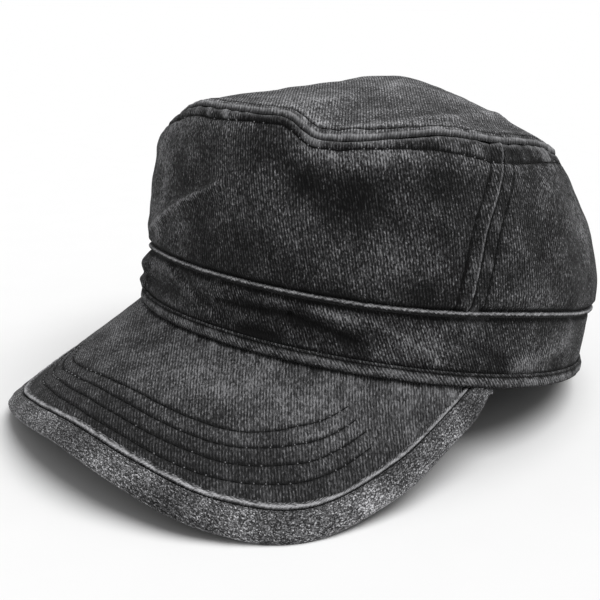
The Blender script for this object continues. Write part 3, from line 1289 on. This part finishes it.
crown_twill = twill("crown twill", dark=0.008, pale=0.2, worn=0.33, slant=-18, level=0.42)
top_twill = twill("top twill", dark=0.024, pale=0.31, worn=0.42, slant=-45, level=0.53)
band_twill = twill("band twill", dark=0.0072, pale=0.2, worn=0.3, slant=-28, level=0.43)
welt_twill = twill("welt twill", dark=0.009, pale=0.19, worn=0.3, slant=-42)
peak_twill = twill("peak twill", dark=0.016, pale=0.2, worn=0.36, slant=50, level=0.43, streaks=0.95)
worn_fold = twill("worn fold", dark=0.014, pale=0.3, worn=0.55, slant=-50)
heather_cloth = heather("heather", dark=0.016, light=0.46)
black_thread = thread_finish("black thread", 0.005)
pale_thread = thread_finish("bared thread", 0.24)

DRESSED = [
    (front_panel, ["front_panel"], "crown_twill", crown_twill),
    (rear_panel, ["rear_panel"], "crown_twill", crown_twill),
    (seam_left, ["side_seam_left"], "crown_twill", crown_twill),
    (seam_right, ["side_seam_right"], "crown_twill", crown_twill),
    (dome_piece, ["top_panel"], "crown_twill", top_twill),
    (band, ["band"], "band_twill", band_twill),
    (piping_piece, ["band_piping"], "worn_fold", worn_fold),
    (welt_piece, ["band_welt"], "band_twill", welt_twill),
    (peak_piece, ["peak"], "peak_twill", peak_twill),
    (rim_piece, ["peak_rim"], "worn_fold", worn_fold),
    (binding_piece, ["peak_binding"], "heather_binding", heather_cloth),
    (crown_thread, [], "crown_twill", black_thread),
    (band_thread, [], "band_twill", black_thread),
    (peak_thread, [], "peak_twill", black_thread),
    (hole_flecks, [], "peak_twill", pale_thread),
]
for piece, nodes, slot, material in DRESSED:
    piece.data.materials.clear()
    piece.data.materials.append(material)
    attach(piece, "root")
    if nodes:
        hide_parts(*nodes)

FLOOR_HALF = 30.0
FLOOR_ALBEDO = 0.9
ROOM_LIGHT = 0.3
BACKDROP = 1.0
LAMP_FROM = Vector((0.23, 0.28, 0.94)).normalized()
LAMP_SPREAD = np.radians(55)


def studio():
    """A pale floor, a weak even room light and one broad soft light overhead, a little behind. The
    floor comes out as bright as the backdrop: albedo * (lamp / pi + room) = backdrop."""
    corners = ((-1, -1), (1, -1), (1, 1), (-1, 1))
    mesh = bpy.data.meshes.new("floor")
    mesh.from_pydata([(x * FLOOR_HALF, y * FLOOR_HALF, 0) for x, y in corners], [], [(0, 1, 2, 3)])
    floor = added("floor", mesh)
    f = Finish("pale floor")
    grain = f.noise(f.place(), 40, 3)
    colour = f.blend(grain, grey(FLOOR_ALBEDO - 0.01, 1), grey(FLOOR_ALBEDO + 0.01, 1))
    f.surface(colour, 0.9, grain, 0.01 * MM, gloss=0.0)
    mesh.materials.append(f.material)
    world = bpy.data.worlds.new("studio")
    world.use_nodes = True
    background = world.node_tree.nodes["Background"]
    background.inputs["Color"].default_value = (1, 1, 1, 1)
    ray = world.node_tree.nodes.new("ShaderNodeLightPath")
    seen = world.node_tree.nodes.new("ShaderNodeMath")
    seen.operation = "MULTIPLY_ADD"
    seen.inputs[1].default_value = BACKDROP - ROOM_LIGHT
    seen.inputs[2].default_value = ROOM_LIGHT
    world.node_tree.links.new(ray.outputs["Is Camera Ray"], seen.inputs[0])
    world.node_tree.links.new(seen.outputs[0], background.inputs["Strength"])
    bpy.context.scene.world = world
    data = bpy.data.lights.new("overhead", "SUN")
    data.angle = LAMP_SPREAD
    data.energy = (BACKDROP / FLOOR_ALBEDO - ROOM_LIGHT) * np.pi / LAMP_FROM.z
    added("overhead", data).rotation_euler = LAMP_FROM.to_track_quat("Z", "Y").to_euler()


# The camera, found from the band's oval and the peak's outline in the photograph, for a cap that
# leans back by SEEN_TILT
SEEN_TILT = np.radians(11.58)
CAMERA_AZIMUTH = np.radians(45.8)
CAMERA_ELEVATION = np.radians(17.96)
CAMERA_ROLL = np.radians(1.13)
CAMERA_DISTANCE = 386.12 * MM
CAMERA_AIM = Vector((-19.345 * MM, -19.6 * MM, 9.81 * MM))
FOCAL_SHARE = 892 / 600
SENSOR = 36.0


def camera():
    """A camera on a sphere round its aim, turned a little about its own axis, and all of it turned
    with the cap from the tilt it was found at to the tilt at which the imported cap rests."""
    back = Vector((np.sin(CAMERA_AZIMUTH) * np.cos(CAMERA_ELEVATION),
                   -np.cos(CAMERA_AZIMUTH) * np.cos(CAMERA_ELEVATION), np.sin(CAMERA_ELEVATION)))
    right = Vector((np.cos(CAMERA_AZIMUTH), np.sin(CAMERA_AZIMUTH), 0))
    up = back.cross(right)
    right, up = (right * np.cos(CAMERA_ROLL) + up * np.sin(CAMERA_ROLL),
                 up * np.cos(CAMERA_ROLL) - right * np.sin(CAMERA_ROLL))
    data = bpy.data.cameras.new("camera")
    data.sensor_width = SENSOR
    data.sensor_fit = "HORIZONTAL"
    data.lens = SENSOR * FOCAL_SHARE
    data.clip_start = 0.01
    eye = added("camera", data)
    facing = Matrix((right, up, back)).transposed().to_4x4()
    stand = Matrix.Translation(CAMERA_AIM + back * CAMERA_DISTANCE) @ facing
    rest = Matrix.Translation(Vector(SHIFT + (0, 0, FLOOR_HEIGHT)))
    eye.matrix_world = rest @ Matrix.Rotation(SEEN_TILT - rest_angle, 4, "X") @ stand
    bpy.context.scene.camera = eye


studio()
camera()
bpy.context.scene.view_settings.view_transform = "Standard"
